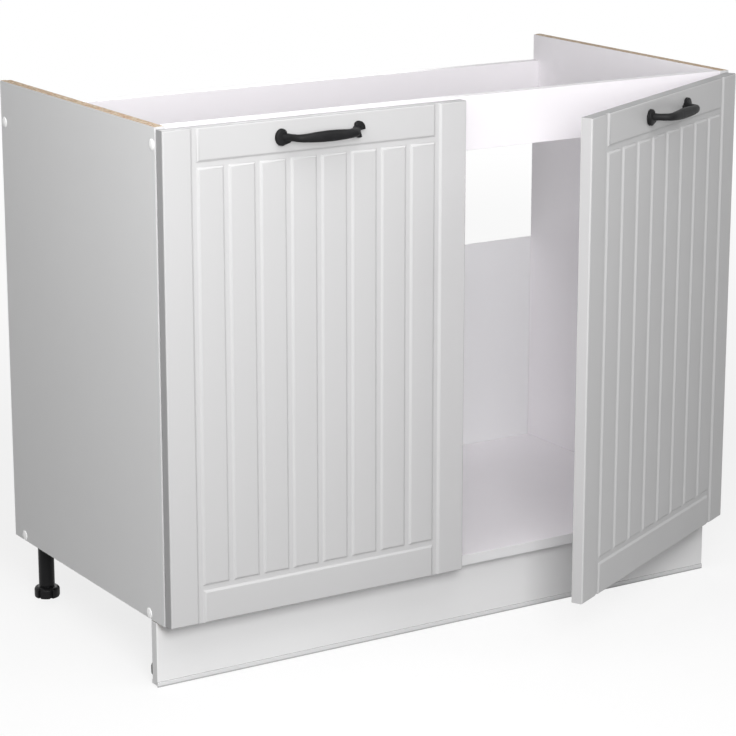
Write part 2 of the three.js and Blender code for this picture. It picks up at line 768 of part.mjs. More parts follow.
function legs() {
  const leg = legForm();
  const foot = footForm();
  const places = [
    ["front_left", -LEG.x, LEG.frontY],
    ["front_right", LEG.x, LEG.frontY],
    ["rear_left", -LEG.x, LEG.rearY],
    ["rear_right", LEG.x, LEG.rearY],
  ];
  return places.flatMap(([name, x, y]) => [
    part(`leg_${name}`, leg, blackPlastic(), x, y),
    part(`foot_${name}`, foot, blackPlastic(), x, y),
  ]);
}

// ---------------------------------------------------------------- plinth

function plinthBoard() {
  const half = WIDTH / 2 - SEAT;
  const { y, thickness, corner } = PLINTH;
  const shape = new THREE.Shape();
  shape.absarc(half - corner, y + corner, corner, -Math.PI / 2, 0, false);
  shape.absarc(half - corner, y + thickness - corner, corner, 0, Math.PI / 2, false);
  shape.absarc(-half + corner, y + thickness - corner, corner, Math.PI / 2, Math.PI, false);
  shape.absarc(-half + corner, y + corner, corner, Math.PI, Math.PI * 1.5, false);
  return prism(shape, PLINTH.bottom, PLINTH.top, 3);
}

// A channel pressed over the board's lower edge; outline in y and z, drawn along x.
function plinthEdging() {
  const { y, thickness, bottom, edgingHeight } = PLINTH;
  const wall = 0.9;
  const [y0, y1] = [y - SEAT, y + thickness + SEAT];
  const low = bottom - SEAT - 1.3;
  const high = low + edgingHeight;
  const floor = bottom - SEAT;
  const shape = outline([
    [y0 - wall, low], [y1 + wall, low], [y1 + wall, high], [y1, high],
    [y1, floor], [y0, floor], [y0, high], [y0 - wall, high],
  ]);
  const half = WIDTH / 2 - SEAT;
  return prism(shape, -half, half).applyMatrix4(
    new THREE.Matrix4().set(0, 0, 1, 0, 1, 0, 0, 0, 0, 1, 0, 0, 0, 0, 0, 1),
  );
}

// A clip behind the board: base, stem and an open jaw round the front of a leg's tube.
function plinthClip() {
  const back = PLINTH.y + PLINTH.thickness + SEAT;
  const inner = LEG.tubeRadius + SEAT + 0.1;
  const outer = inner + CLIP.jaw;
  const { base, baseHalf, stemHalf } = CLIP;
  const stemMeets = LEG.frontY - Math.sqrt(outer ** 2 - stemHalf ** 2);
  const shape = new THREE.Shape();
  shape.moveTo(-baseHalf, back);
  shape.lineTo(baseHalf, back);
  shape.lineTo(baseHalf, back + base);
  shape.lineTo(stemHalf, back + base);
  shape.lineTo(stemHalf, stemMeets);
  const half = Math.asin(stemHalf / outer);
  shape.absarc(0, LEG.frontY, outer, -Math.PI / 2 + half, 0, false);
  shape.lineTo(outer + 1.6, LEG.frontY + 4.5);
  shape.lineTo(inner + 1.6, LEG.frontY + 4.5);
  shape.lineTo(inner, LEG.frontY);
  shape.absarc(0, LEG.frontY, inner, 0, -Math.PI, true);
  shape.lineTo(-inner - 1.6, LEG.frontY + 4.5);
  shape.lineTo(-outer - 1.6, LEG.frontY + 4.5);
  shape.lineTo(-outer, LEG.frontY);
  shape.absarc(0, LEG.frontY, outer, Math.PI, (3 * Math.PI) / 2 - half, false);
  shape.lineTo(-stemHalf, back + base);
  shape.lineTo(-baseHalf, back + base);
  return prism(shape, CLIP.z - CLIP.height / 2, CLIP.z + CLIP.height / 2, 5);
}

function plinth() {
  const clip = plinthClip();
  return [
    part("plinth_board", plinthBoard(), melamine()),
    part("plinth_edging", plinthEdging(), whitePlastic()),
    part("plinth_clip_left", clip, blackPlastic(), -LEG.x, 0),
    part("plinth_clip_right", clip, blackPlastic(), LEG.x, 0),
  ];
}

// ---------------------------------------------------------------- the whole cabinet

const cabinet = new THREE.Group();
cabinet.add(
  ...carcass(),
  ...doorAssembly(-1, "left"),
  ...doorAssembly(1, "right"),
  ...legs(),
  ...plinth(),
);

// Origin: the middle of the footprint, on the floor, with the doors as they stand at rest.
const box = new THREE.Box3().setFromObject(cabinet, true);
const middle = box.getCenter(new THREE.Vector3());
cabinet.position.set(-middle.x, -middle.y, -box.min.z);

const group = new THREE.Group();
group.add(cabinet);
group.updateMatrixWorld(true);

export default group;
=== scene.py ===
import json
import math

import bmesh
import bpy
from mathutils import Matrix, Vector


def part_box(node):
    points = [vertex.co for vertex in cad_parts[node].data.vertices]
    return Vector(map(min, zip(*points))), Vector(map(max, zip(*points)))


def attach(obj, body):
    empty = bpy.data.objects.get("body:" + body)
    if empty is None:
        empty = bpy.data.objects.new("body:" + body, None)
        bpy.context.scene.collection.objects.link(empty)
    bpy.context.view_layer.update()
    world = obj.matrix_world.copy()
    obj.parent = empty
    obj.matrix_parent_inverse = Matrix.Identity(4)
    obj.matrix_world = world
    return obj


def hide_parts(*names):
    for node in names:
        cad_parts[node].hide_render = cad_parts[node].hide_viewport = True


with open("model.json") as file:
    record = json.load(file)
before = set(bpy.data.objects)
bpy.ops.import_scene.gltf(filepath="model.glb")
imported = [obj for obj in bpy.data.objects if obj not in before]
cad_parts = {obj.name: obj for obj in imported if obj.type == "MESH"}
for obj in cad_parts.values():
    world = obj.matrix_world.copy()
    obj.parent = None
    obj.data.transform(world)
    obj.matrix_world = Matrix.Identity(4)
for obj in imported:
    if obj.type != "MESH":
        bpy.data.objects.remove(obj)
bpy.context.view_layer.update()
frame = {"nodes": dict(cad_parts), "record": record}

# Sizes of the cabinet are in millimetres, laid out as on the drawing board: x = 0 in the middle
# of the width, y = 0 on the front edges of the side panels, z = 0 on the floor. CARCASS turns
# such a place into the frame's metres, which the materials and the studio lamps use as they are.

MM = 0.001
SIDES = {"left": -1, "right": 1}
CARCASS = Matrix.Translation((0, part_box("side_panel_left")[0].y, 0)) @ Matrix.Scale(MM, 4)

HALF_WIDTH = 500
BOARD = 16
INSIDE = HALF_WIDTH - BOARD
BOTTOM, TOP = 100, 820  # underside of the carcass and top of its sides
DOOR_BACK = -2
DOOR_FRONT = -20
DOOR_LOW, DOOR_HIGH = 102, 817
HINGE_HEIGHTS = {"lower": 194, "upper": 714}
HANDLE_HEIGHT = 792.5
HANDLE_CENTRES = 126
GAP = 0.3  # between a board and what stands on it

# The outer link's pivots on the arm and in the cup, each as a distance inwards from the side's
# outer face and one behind its front edge, and the link's turn for each degree of the door.
ARM_PIVOT = (33.9, 10.2)
CUP_PIVOT = (11.5, -4.7)
LINK_RATIO = -0.338
REST_OPENING = {"left": 0, "right": 27}


# ---------------------------------------------------------------- places

def turn_about(x, y, degrees):
    centre = Matrix.Translation((x, y, 0))
    return centre @ Matrix.Rotation(math.radians(degrees), 4, "Z") @ centre.inverted()


def door_rest(label):
    """From the shut door's place on the drawing board to its place at rest."""
    side = SIDES[label]
    opening = side * REST_OPENING[label]
    arm = (side * (HALF_WIDTH - ARM_PIVOT[0]), ARM_PIVOT[1])
    cup = (side * (HALF_WIDTH - CUP_PIVOT[0]), CUP_PIVOT[1])
    link = turn_about(*arm, opening * LINK_RATIO)
    return link @ turn_about(*cup, opening * (1 - LINK_RATIO))


def facing(place, direction):
    """A local +Z that points along direction, with its origin at place."""
    turned = Vector(direction).to_track_quat("Z", "Y").to_matrix().to_4x4()
    return Matrix.Translation(place) @ turned


# ---------------------------------------------------------------- material building blocks

def new_material(name, roughness, metallic=0.0):
    made = bpy.data.materials.new(name)
    made.use_nodes = True
    surface = made.node_tree.nodes["Principled BSDF"]
    surface.inputs["Roughness"].default_value = roughness
    surface.inputs["Metallic"].default_value = metallic
    return made


def add(material, kind, inputs, **settings):
    """A new node. An input is a plain value or the output that feeds it."""
    node = material.node_tree.nodes.new(kind)
    for name, value in settings.items():
        setattr(node, name, value)
    for key, value in inputs.items():
        if isinstance(value, bpy.types.NodeSocket):
            material.node_tree.links.new(value, node.inputs[key])
        else:
            node.inputs[key].default_value = value
    return node


def coordinates(material, kind="Object"):
    return add(material, "ShaderNodeTexCoord", {}).outputs[kind]


def stretched(material, vector, scale):
    return add(material, "ShaderNodeMapping", {"Vector": vector, "Scale": scale}).outputs["Vector"]


def noise(material, vector, scale, detail=3.0, roughness=0.5):
    inputs = {"Vector": vector, "Scale": scale, "Detail": detail, "Roughness": roughness}
    return add(material, "ShaderNodeTexNoise", inputs).outputs["Fac"]


def sums(material, operation, first, second=0.0):
    inputs = {0: first, 1: second}
    return add(material, "ShaderNodeMath", inputs, operation=operation).outputs["Value"]


def ramp(material, value, low, high, to_low=0.0, to_high=1.0):
    inputs = {"Value": value}
    inputs.update({"From Min": low, "From Max": high, "To Min": to_low, "To Max": to_high})
    return add(material, "ShaderNodeMapRange", inputs).outputs["Result"]


def tint(material, factor, first, second):
    """A colour between two, each a colour or an output."""
    inputs = {0: factor}
    for key, colour in ((6, first), (7, second)):
        inputs[key] = colour if isinstance(colour, bpy.types.NodeSocket) else (*colour, 1.0)
    return add(material, "ShaderNodeMix", inputs, data_type="RGBA").outputs[2]


def along(material, direction):
    """How far the surface faces a direction of its own object, from -1 to 1."""
    inputs = {0: coordinates(material, "Normal"), 1: direction}
    return add(material, "ShaderNodeVectorMath", inputs, operation="DOT_PRODUCT").outputs["Value"]


def parts_of(material, vector):
    return add(material, "ShaderNodeSeparateXYZ", {"Vector": vector}).outputs


def finish_surface(material, colour, roughness, height, depth):
    """Feeds the surface. Without a roughness the material keeps its even one, and depth is the
    relief in metres that a height of 1 stands for."""
    tree = material.node_tree
    surface = tree.nodes["Principled BSDF"]
    tree.links.new(colour, surface.inputs["Base Color"])
    if roughness is not None:
        tree.links.new(roughness, surface.inputs["Roughness"])
    relief = add(material, "ShaderNodeBump", {"Height": height, "Distance": depth, "Strength": 1.0})
    tree.links.new(relief.outputs["Normal"], surface.inputs["Normal"])
    return material


# ---------------------------------------------------------------- finishes

UP, DOWN, BACKWARDS = (0.0, 0.0, 1.0), (0.0, 0.0, -1.0), (0.0, 1.0, 0.0)

# Each skin is two near whites that drift into one another over the board.
INNER_SKIN = ((0.862, 0.838, 0.864), (0.84, 0.815, 0.842))
OUTER_SKIN = ((0.845, 0.845, 0.847), (0.82, 0.82, 0.822))
PLINTH_SKIN = ((0.885, 0.884, 0.885), (0.865, 0.864, 0.865))
PALE_CHIP, TAN_CHIP = (0.73, 0.63, 0.48), (0.51, 0.37, 0.235)
PINK_CHIP, DARK_CHIP = (0.61, 0.38, 0.25), (0.23, 0.145, 0.085)
SKIN_THICKNESS = 0.35  # of the melamine on a board's faces
SKIN_EDGE = 0.0001  # metres over which a sawn edge's skin gives way to its chips
FLAKES, CRUMBS = 270.0, 640.0  # to a metre
FOIL = ((0.575, 0.572, 0.575), (0.556, 0.554, 0.557))
FREE_EDGE_SHADE, HINGE_EDGE_SHADE = (0.515, 0.511, 0.515), (0.37, 0.368, 0.373)  # the foil on a door's edges, darker than its face as painted shade
FIBRE = ((0.21, 0.125, 0.065), (0.36, 0.235, 0.135))
FIBRE_CLOUD = (0.28, 0.175, 0.09)


def skin_colour(material, place, skin, outside=None):
    cloud = noise(material, place, 5.0, 4.0)
    inner = tint(material, cloud, *skin)
    if outside is None:
        return inner
    outer = tint(material, cloud, *OUTER_SKIN)
    return tint(material, ramp(material, along(material, outside), 0.5, 0.9), inner, outer)


def chipboard(material, place):
    """Pressed chips: pale and tan flakes, some reddish, with dark bits. Gives colour and height."""
    swirl = noise(material, place, 90.0, 2.0)
    spread = sums(material, "MULTIPLY", swirl, 0.004)
    moved = add(material, "ShaderNodeVectorMath", {0: place, 1: spread}, operation="ADD")
    flakes, crumbs = (
        add(material, "ShaderNodeTexVoronoi", {"Vector": moved.outputs["Vector"], "Scale": scale})
        for scale in (FLAKES, CRUMBS)
    )
    shade = parts_of(material, flakes.outputs["Color"])
    crumb = parts_of(material, crumbs.outputs["Color"])
    colour = tint(material, ramp(material, shade["X"], 0.25, 0.85), PALE_CHIP, TAN_CHIP)
    colour = tint(material, ramp(material, shade["Z"], 0.55, 0.75, 0.0, 0.85), colour, PINK_CHIP)
    colour = tint(material, ramp(material, crumb["Y"], 0.74, 0.86, 0.0, 0.85), colour, DARK_CHIP)
    colour = tint(material, ramp(material, crumb["X"], 0.82, 0.9, 0.0, 0.7), colour, PALE_CHIP)
    fibres = noise(material, place, 1500.0, 4.0, 0.7)
    colour = tint(material, ramp(material, fibres, 0.35, 0.75, 0.0, 0.3), colour, TAN_CHIP)
    return colour, sums(material, "ADD", flakes.outputs["Distance"], fibres)


def board_finish(name, raw=(), core=None, outside=None, skin=INNER_SKIN):
    """Melamine-faced chipboard. raw lists the directions of its sawn edges, core gives the axis
    through the board's thickness with the middle of that thickness in metres, and outside is the
    direction of a face that has the outer skin."""
    made = new_material(name, 0.38)
    place = coordinates(made)
    colour = skin_colour(made, place, skin, outside)
    pearl = noise(made, place, 700.0, 2.0)
    roughness = ramp(made, noise(made, place, 30.0), 0.3, 0.7, 0.34, 0.43)
    height = sums(made, "MULTIPLY", pearl, 0.08)
    if raw:
        sawn = None
        for direction in raw:
            faces = ramp(made, along(made, direction), 0.9, 0.99)
            sawn = faces if sawn is None else sums(made, "MAXIMUM", sawn, faces)
        axis, middle = core
        off = sums(made, "ABSOLUTE", sums(made, "SUBTRACT", parts_of(made, place)[axis], middle))
        inner = (BOARD / 2 - SKIN_THICKNESS) * MM
        sawn = sums(made, "MULTIPLY", sawn, ramp(made, off, inner + SKIN_EDGE, inner))
        chips, grain = chipboard(made, place)
        colour = tint(made, sawn, colour, chips)
        height = sums(made, "ADD", height, sums(made, "MULTIPLY", grain, sawn))
        roughness = sums(made, "ADD", roughness, sums(made, "MULTIPLY", sawn, 0.5))
    return finish_surface(made, colour, roughness, height, 0.0002)


def foil_finish(name, back, hinge, top):
    """Silk foil over the door's face and edges, with plain white melamine on its back. The edges
    are painted darker than the face as shade, the hinge edge most. back and hinge are the
    directions of its back and of its hinge edge, and top is the painted shade tone of the edge that
    faces upwards."""
    made = new_material(name, 0.36)
    place = coordinates(made)
    cloud = noise(made, place, 3.0, 3.0)
    face = tint(made, cloud, *FOIL)
    backwards = along(made, back)
    # Painted shade: the door's edges take darker tones than its face, the hinge edge darkest.
    edge = ramp(made, sums(made, "ABSOLUTE", backwards), 0.35, 0.1)
    rim = tint(made, ramp(made, along(made, hinge), -0.3, 0.3), FREE_EDGE_SHADE, HINGE_EDGE_SHADE)
    face = tint(made, edge, face, rim)
    # Painted shade: the edge that faces upwards takes the darker top tone.
    upper = ramp(made, along(made, UP), 0.6, 0.9)
    face = tint(made, upper, face, (top, 0.994 * top, 1.01 * top))
    behind = ramp(made, backwards, 0.95, 0.99)
    colour = tint(made, behind, face, skin_colour(made, place, INNER_SKIN))
    peel = noise(made, place, 420.0, 2.0)
    fine = noise(made, place, 1600.0, 2.0)
    height = sums(made, "ADD", peel, sums(made, "MULTIPLY", fine, 0.35))
    roughness = ramp(made, noise(made, place, 18.0), 0.3, 0.7, 0.32, 0.42)
    return finish_surface(made, colour, roughness, height, 0.00003)


def hardboard_finish():
    """White lacquer towards the inside, bare pressed fibre on the back."""
    made = new_material("lacquered hardboard", 0.45)
    place = coordinates(made)
    white = tint(made, noise(made, place, 4.0), (0.83, 0.83, 0.84), (0.80, 0.80, 0.81))
    felt = noise(made, stretched(made, place, (1.0, 1.0, 0.6)), 900.0, 5.0, 0.7)
    clouds = noise(made, place, 25.0, 4.0)
    brown = tint(made, ramp(made, felt, 0.3, 0.7), *FIBRE)
    brown = tint(made, ramp(made, clouds, 0.35, 0.7, 0.0, 0.4), brown, FIBRE_CLOUD)
    bare = ramp(made, along(made, BACKWARDS), 0.5, 0.9)
    height = sums(made, "MULTIPLY", felt, sums(made, "ADD", bare, 0.15))
    roughness = ramp(made, bare, 0.0, 1.0, 0.42, 0.75)
    return finish_surface(made, tint(made, bare, white, brown), roughness, height, 0.00015)


def band_finish(name, tone):
    """Smooth plastic strip, a neutral grey or white that drifts a little."""
    made = new_material(name, 0.35)
    place = coordinates(made)
    first, second = (tone, tone, 1.005 * tone), (0.97 * tone, 0.97 * tone, 0.975 * tone)
    colour = tint(made, noise(made, place, 12.0), first, second)
    return finish_surface(made, colour, None, noise(made, place, 900.0, 2.0), 0.00002)


def iron_finish():
    """Black coated casting: a sand-cast skin, a little greyer where hands rub it."""
    made = new_material("black coated iron", 0.5)
    made.node_tree.nodes["Principled BSDF"].inputs["Specular IOR Level"].default_value = 0.16
    place = coordinates(made)
    sand = noise(made, place, 650.0, 4.0, 0.65)
    lumps = noise(made, place, 160.0, 2.0)
    rubbed = ramp(made, noise(made, place, 45.0, 3.0), 0.45, 0.75)
    colour = tint(made, rubbed, (0.007, 0.007, 0.0075), (0.013, 0.013, 0.014))
    roughness = ramp(made, sand, 0.3, 0.7, 0.42, 0.6)
    height = sums(made, "ADD", sand, sums(made, "MULTIPLY", lumps, 1.5))
    return finish_surface(made, colour, roughness, height, 0.00025)


def black_plastic_finish():
    """Dark moulding with a fine spark-eroded grain."""
    made = new_material("moulded black plastic", 0.42)
    made.node_tree.nodes["Principled BSDF"].inputs["Specular IOR Level"].default_value = 0.15
    place = coordinates(made)
    spark = noise(made, place, 1100.0, 3.0)
    colour = tint(made, noise(made, place, 40.0), (0.006, 0.006, 0.0065), (0.011, 0.011, 0.012))
    roughness = ramp(made, spark, 0.3, 0.7, 0.36, 0.52)
    return finish_surface(made, colour, roughness, spark, 0.0001)


def white_plastic_finish():
    """Glossy white plastic with a faint white emission, a painted glow that makes the caps brighter
    than the lamps alone.
    """
    made = new_material("moulded white plastic", 0.24)
    surface = made.node_tree.nodes["Principled BSDF"]
    surface.inputs["Specular IOR Level"].default_value = 0.8
    # Painted glow: the emission brightens the caps though they are no lamp.
    surface.inputs["Emission Color"].default_value = (1.0, 1.0, 1.0, 1.0)
    surface.inputs["Emission Strength"].default_value = 0.12
    place = coordinates(made)
    colour = tint(made, noise(made, place, 60.0), (0.97, 0.97, 0.965), (0.95, 0.95, 0.945))
    roughness = ramp(made, noise(made, place, 300.0), 0.3, 0.7, 0.2, 0.28)
    return finish_surface(made, colour, roughness, noise(made, place, 1200.0), 0.00004)


def metal_finish(name, bright, dull, low, high, drawn):
    """Plated steel with fine marks drawn along one direction. low and high are its smoothest and
    roughest places, and drawn is the marks' scale along each axis."""
    made = new_material(name, low, 1.0)
    place = coordinates(made)
    marks = noise(made, stretched(made, place, drawn), 1400.0, 3.0)
    blooms = noise(made, place, 120.0, 3.0)
    colour = tint(made, ramp(made, blooms, 0.4, 0.7), bright, dull)
    roughness = ramp(made, marks, 0.3, 0.7, low, high)
    return finish_surface(made, colour, roughness, marks, 0.00002)


def bumper_finish():
    """Clear soft silicone."""
    made = new_material("clear silicone", 0.12)
    surface = made.node_tree.nodes["Principled BSDF"]
    surface.inputs["Transmission Weight"].default_value = 0.7
    surface.inputs["IOR"].default_value = 1.42
    place = coordinates(made)
    colour = tint(made, noise(made, place, 80.0), (0.90, 0.91, 0.92), (0.84, 0.85, 0.87))
    return finish_surface(made, colour, None, noise(made, place, 500.0), 0.00002)


SAWN_SIDE = (UP, DOWN, BACKWARDS)
SIDE_MIDDLE = (HALF_WIDTH - BOARD / 2) * MM
BOTTOM_MIDDLE = (BOTTOM + BOARD / 2) * MM


def door_way(label, direction):
    """A direction of the shut door, turned as the door stands at rest."""
    return tuple(door_rest(label).to_3x3() @ Vector(direction))


FINISHES = {
    "side_panel_left": board_finish(
        "side board, left", SAWN_SIDE, ("X", -SIDE_MIDDLE), (-1.0, 0.0, 0.0)
    ),
    "side_panel_right": board_finish(
        "side board, right", SAWN_SIDE, ("X", SIDE_MIDDLE), (1.0, 0.0, 0.0)
    ),
    "bottom_panel": board_finish("bottom board", (BACKWARDS,), ("Z", BOTTOM_MIDDLE)),
    "rail": board_finish("rail board"),
    "plinth_board": board_finish("plinth board", skin=PLINTH_SKIN),
    # The last number of each door finish is the painted shade tone of its upward-facing edge.
    "door_left": foil_finish(
        "silk foil with painted edge shade, left door", door_way("left", (0, 1, 0)), door_way("left", (-1, 0, 0)), 0.38
    ),
    "door_right": foil_finish(
        "silk foil with painted edge shade, right door", door_way("right", (0, 1, 0)), door_way("right", (1, 0, 0)), 0.26
    ),
    "back_panel": hardboard_finish(),
    "side_band": band_finish("edge band of the sides", 0.62),
    "bottom_band": band_finish("edge band of the bottom", 0.76),
    "edging": band_finish("plinth edging", 0.8),
    # The same grey finish also covers the strip at the plinth's joint, a painted shadow line.
    "seal_and_joint_shadow": band_finish("grey soft seal", 0.5),
    "iron": iron_finish(),
    "black_plastic": black_plastic_finish(),
    "white_plastic": white_plastic_finish(),
    "nickel": metal_finish(
        "nickel plated steel", (0.66, 0.655, 0.64), (0.5, 0.495, 0.48), 0.2, 0.36, (1.0, 1.0, 0.15)
    ),
    "zinc": metal_finish(
        "zinc plated steel", (0.62, 0.62, 0.58), (0.45, 0.45, 0.43), 0.28, 0.45, (1.0, 0.3, 1.0)
    ),
    "bumper": bumper_finish(),
}


# ---------------------------------------------------------------- building blocks for pieces

def to_mesh(name, bm):
    mesh = bpy.data.meshes.new(name)
    bm.to_mesh(mesh)
    bm.free()
    return mesh


def ring(bm, points):
    """A closed ring of edges through new vertices at the points."""
    corners = [bm.verts.new(point) for point in points]
    return [bm.edges.new(pair) for pair in zip(corners, corners[1:] + corners[:1])]


def closed_form(bm):
    """Turns the faces of a closed form outwards and shades them smooth."""
    bmesh.ops.recalc_face_normals(bm, faces=bm.faces)
    return smoothed(bm)


def smoothed(bm):
    """Shades every face smooth."""
    for face in bm.faces:
        face.smooth = True
    return bm


def bring(bm, mesh):
    """Adds a mesh to a form and gives the vertices that came with it."""
    before = len(bm.verts)
    bm.from_mesh(mesh)
    bm.verts.ensure_lookup_table()
    return bm.verts[before:]


def show(name, mesh, finish, body):
    """A finished piece that rides on a body and takes its finish from FINISHES."""
    piece = bpy.data.objects.new(name, mesh)
    bpy.context.scene.collection.objects.link(piece)
    piece.data.materials.append(FINISHES[finish])
    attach(piece, body)
    return piece


HARD_EDGE = 32  # degrees between two faces, past which their edge is rounded


def soften(piece, width, segments=2):
    """Rounds a piece's hard edges a little and shades its flat faces flat."""
    edge = piece.modifiers.new("eased edges", "BEVEL")
    edge.width = width * MM
    edge.segments = segments
    edge.limit_method = "ANGLE"
    edge.angle_limit = math.radians(HARD_EDGE)
    edge.harden_normals = False
    shading = piece.modifiers.new("even shading", "WEIGHTED_NORMAL")
    shading.keep_sharp = True
    return piece


def revolve(profile, segments):
    """A closed turned form about +Z from pairs of radius and height, both ends on the axis."""
    bm = bmesh.new()
    points = [bm.verts.new((radius, 0, height)) for radius, height in profile]
    edges = [bm.edges.new(pair) for pair in zip(points, points[1:])]
    bmesh.ops.spin(
        bm,
        geom=points + edges,
        cent=(0, 0, 0),
        axis=(0, 0, 1),
        angle=2 * math.pi,
        steps=segments,
        use_merge=True,
    )
    bmesh.ops.remove_doubles(bm, verts=bm.verts, dist=1e-4)
    return closed_form(bm)


def skin_over(bm, rings):
    """Joins each ring of edges to the next one and closes both ends."""
    for first, second in zip(rings, rings[1:]):
        bmesh.ops.bridge_loops(bm, edges=first + second)
    for end in (rings[0], rings[-1]):
        bmesh.ops.contextual_create(bm, geom=end)


def repeated(mesh, places):
    """One form with a copy of the mesh at each place, turned into the frame's metres."""
    bm = bmesh.new()
    for place in places:
        bmesh.ops.transform(bm, matrix=CARCASS @ place, verts=bring(bm, mesh))
    return bm


# ---------------------------------------------------------------- the boards and mouldings

OWNERS = {
    node: body for body, nodes in frame["record"]["behaviour"]["bodies"].items() for node in nodes
}
SAME_PLACE = 1e-6  # metres
FLAT_WITHIN = math.radians(0.4)


def finished(node, finish, ease, segments=2):
    """The node's own form with clean flat faces, eased edges and its finish."""
    bm = bmesh.new()
    bm.from_mesh(frame["nodes"][node].data)
    bmesh.ops.remove_doubles(bm, verts=bm.verts, dist=SAME_PLACE)
    bmesh.ops.dissolve_limit(
        bm,
        angle_limit=FLAT_WITHIN,
        verts=bm.verts,
        edges=bm.edges,
        use_dissolve_boundaries=False,
    )
    mesh = to_mesh(f"{node}_finished", smoothed(bm))
    piece = show(f"{node}_finished", mesh, finish, OWNERS[node])
    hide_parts(node)
    return soften(piece, ease, segments)


for label in SIDES:
    finished(f"side_panel_{label}", f"side_panel_{label}", 0.35)
    finished(f"door_{label}", f"door_{label}", 0.4)
finished("bottom_panel", "bottom_panel", 0.35)
finished("front_rail", "rail", 0.4)
finished("rear_rail", "rail", 0.4)
finished("back_panel", "back_panel", 0.2)
finished("plinth_board", "plinth_board", 0.4)
finished("plinth_edging", "edging", 0.3, 3)

for node in sorted(frame["nodes"]):
    if node.startswith(("leg_", "plinth_clip")):
        finished(node, "black_plastic", 0.35)
    elif node.startswith(("hinge_", "inner_link", "outer_link")):
        finished(node, "nickel", 0.15)
    elif node.startswith("screw_"):
        finished(node, "zinc", 0.15)


# A turned form's profile is a list of pairs: radius and height.
CAP_DOME = [
    (0, 0), (7.6, 0), (8, 0.15), (7.9, 0.4), (6.8, 0.78), (5.2, 1.13), (3.4, 1.4), (1.7, 1.56),
    (0, 1.6),
]


def domed_cap(node):
    """A thin cap with a low dome, in the place of its node."""
    low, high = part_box(node)
    middle = CARCASS.inverted() @ ((low + high) / 2)
    side = math.copysign(1, middle.x)
    place = facing((side * (HALF_WIDTH + GAP), middle.y, middle.z), (side, 0, 0))
    mesh = to_mesh(f"{node}_finished", repeated(to_mesh("dome", revolve(CAP_DOME, 36)), [place]))
    piece = show(f"{node}_finished", mesh, "white_plastic", OWNERS[node])
    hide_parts(node)


for node in sorted(frame["nodes"]):
    if node.startswith("cap_"):
        domed_cap(node)


# ---------------------------------------------------------------- feet and leg collars

LEG_PLACES = {
    "front_left": (-463, 72),
    "front_right": (463, 72),
    "rear_left": (-463, 470),
    "rear_right": (463, 470),
}
LOBES = 6
LOBE_TURN = 55.5  # degrees from +X to the middle of the first lobe
# Points of half a lobe: degrees from its middle, and how far it stands out of the notch.
LOBE_HALF = ((7, 1), (14, 1), (21.5, 1), (23.8, 0.8), (25, 0.3), (25.8, 0))
# Height, and the radii of the lobes and of the notches there.
FOOT_LEVELS = (
    (0, 18.8, 15.6), (0.8, 19.6, 15.8), (2.5, 19.9, 16), (12.4, 20, 16.2), (14.2, 19.4, 16.1),
    (15.7, 18, 15.8), (16.7, 15.9, 15.2), (17, 14, 14),
)
SHANK = [(0, 15), (12, 15), (11.6, 17.4), (8.4, 18.2), (7, 19.4), (7, 65), (6.2, 66), (0, 66)]
COLLAR_DRUM = [(0, 88.8), (17.8, 88.8), (19, 89.6), (19.5, 91), (19.5, 97.2), (0, 97.2)]


def screw_foot(name):
    """A screwed shank on a grip rim whose lobes are parted by notches cut right through."""
    half = list(LOBE_HALF)
    mirrored = [(-angle, share) for angle, share in reversed(half)]
    lobe = mirrored + [(0, 1)] + half + [(180 / LOBES, 0)]
    bm = bmesh.new()
    levels = []
    for height, outer, inner in FOOT_LEVELS:
        points = []
        for i in range(LOBES):
            for angle, share in lobe:
                turn = math.radians(LOBE_TURN + 360 / LOBES * i + angle)
                radius = inner + (outer - inner) * share
                points.append((radius * math.cos(turn), radius * math.sin(turn), height))
        levels.append(ring(bm, points))
    skin_over(bm, levels)
    closed_form(bm)
    bm.from_mesh(to_mesh("foot_shank", revolve(SHANK, 28)))
    place = Matrix.Translation((*LEG_PLACES[name], 0))
    bmesh.ops.transform(bm, matrix=CARCASS @ place, verts=bm.verts)
    mesh = to_mesh(f"foot_{name}_finished", bm)
    piece = show(f"foot_{name}_finished", mesh, "black_plastic", f"foot_{name}")
    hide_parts(f"foot_{name}")
    soften(piece, 0.3)


for name in LEG_PLACES:
    screw_foot(name)


# ---------------------------------------------------------------- bow handles

NECK_ROOT = 60  # the necks start a little inside the middles of their rosettes
GRIP_PATH = ((-60, 0.0), (-53.2, 0.43), (-46.5, 0.86), (-33.4, 1.0), (0, 1.0))
REACH = 27.7  # of the grip's centre line in front of the door
GRIP = {"depth": 5.8, "height": 8.0}  # half sizes of the section in the middle
NECK = {"depth": 4.8, "height": 4.7}  # and at its roots
COLLAR = {"rise": 1.8, "reach": 15}  # swelling of a neck where it leaves its rosette
ROOT_OUT = 1  # of the centre line in front of the door where a neck starts
SWELLING = 1.4  # how late the necks swell into the grip
SQUARENESS = 2.3  # of the section; 2 is an ellipse
STEP = 0.01  # share of the centre line over which its direction is taken
GRIP_RINGS = 56
RING_POINTS = 28


def grip_centre(share):
    """A point of the bow's centre line, from one foot at 0 to the other at 1."""
    left = list(GRIP_PATH)
    whole = left + [(-x, out) for x, out in reversed(left[:-1])]
    points = [Vector((x, -ROOT_OUT - out * (REACH - ROOT_OUT), 0)) for x, out in whole]
    at = share * (len(points) - 1)
    i = min(int(at), len(points) - 2)
    t = at - i
    before = points[max(i - 1, 0)]
    start, end = points[i], points[i + 1]
    after = points[min(i + 2, len(points) - 1)]
    pull = (end - before) / 2
    push = (after - start) / 2
    return (
        start * (2 * t**3 - 3 * t**2 + 1)
        + pull * (t**3 - 2 * t**2 + t)
        + end * (3 * t**2 - 2 * t**3)
        + push * (t**3 - t**2)
    )


def squared(value):
    """A cosine or sine pushed outwards, so that the oval it draws has fuller corners."""
    return math.copysign(abs(value) ** (2 / SQUARENESS), value)


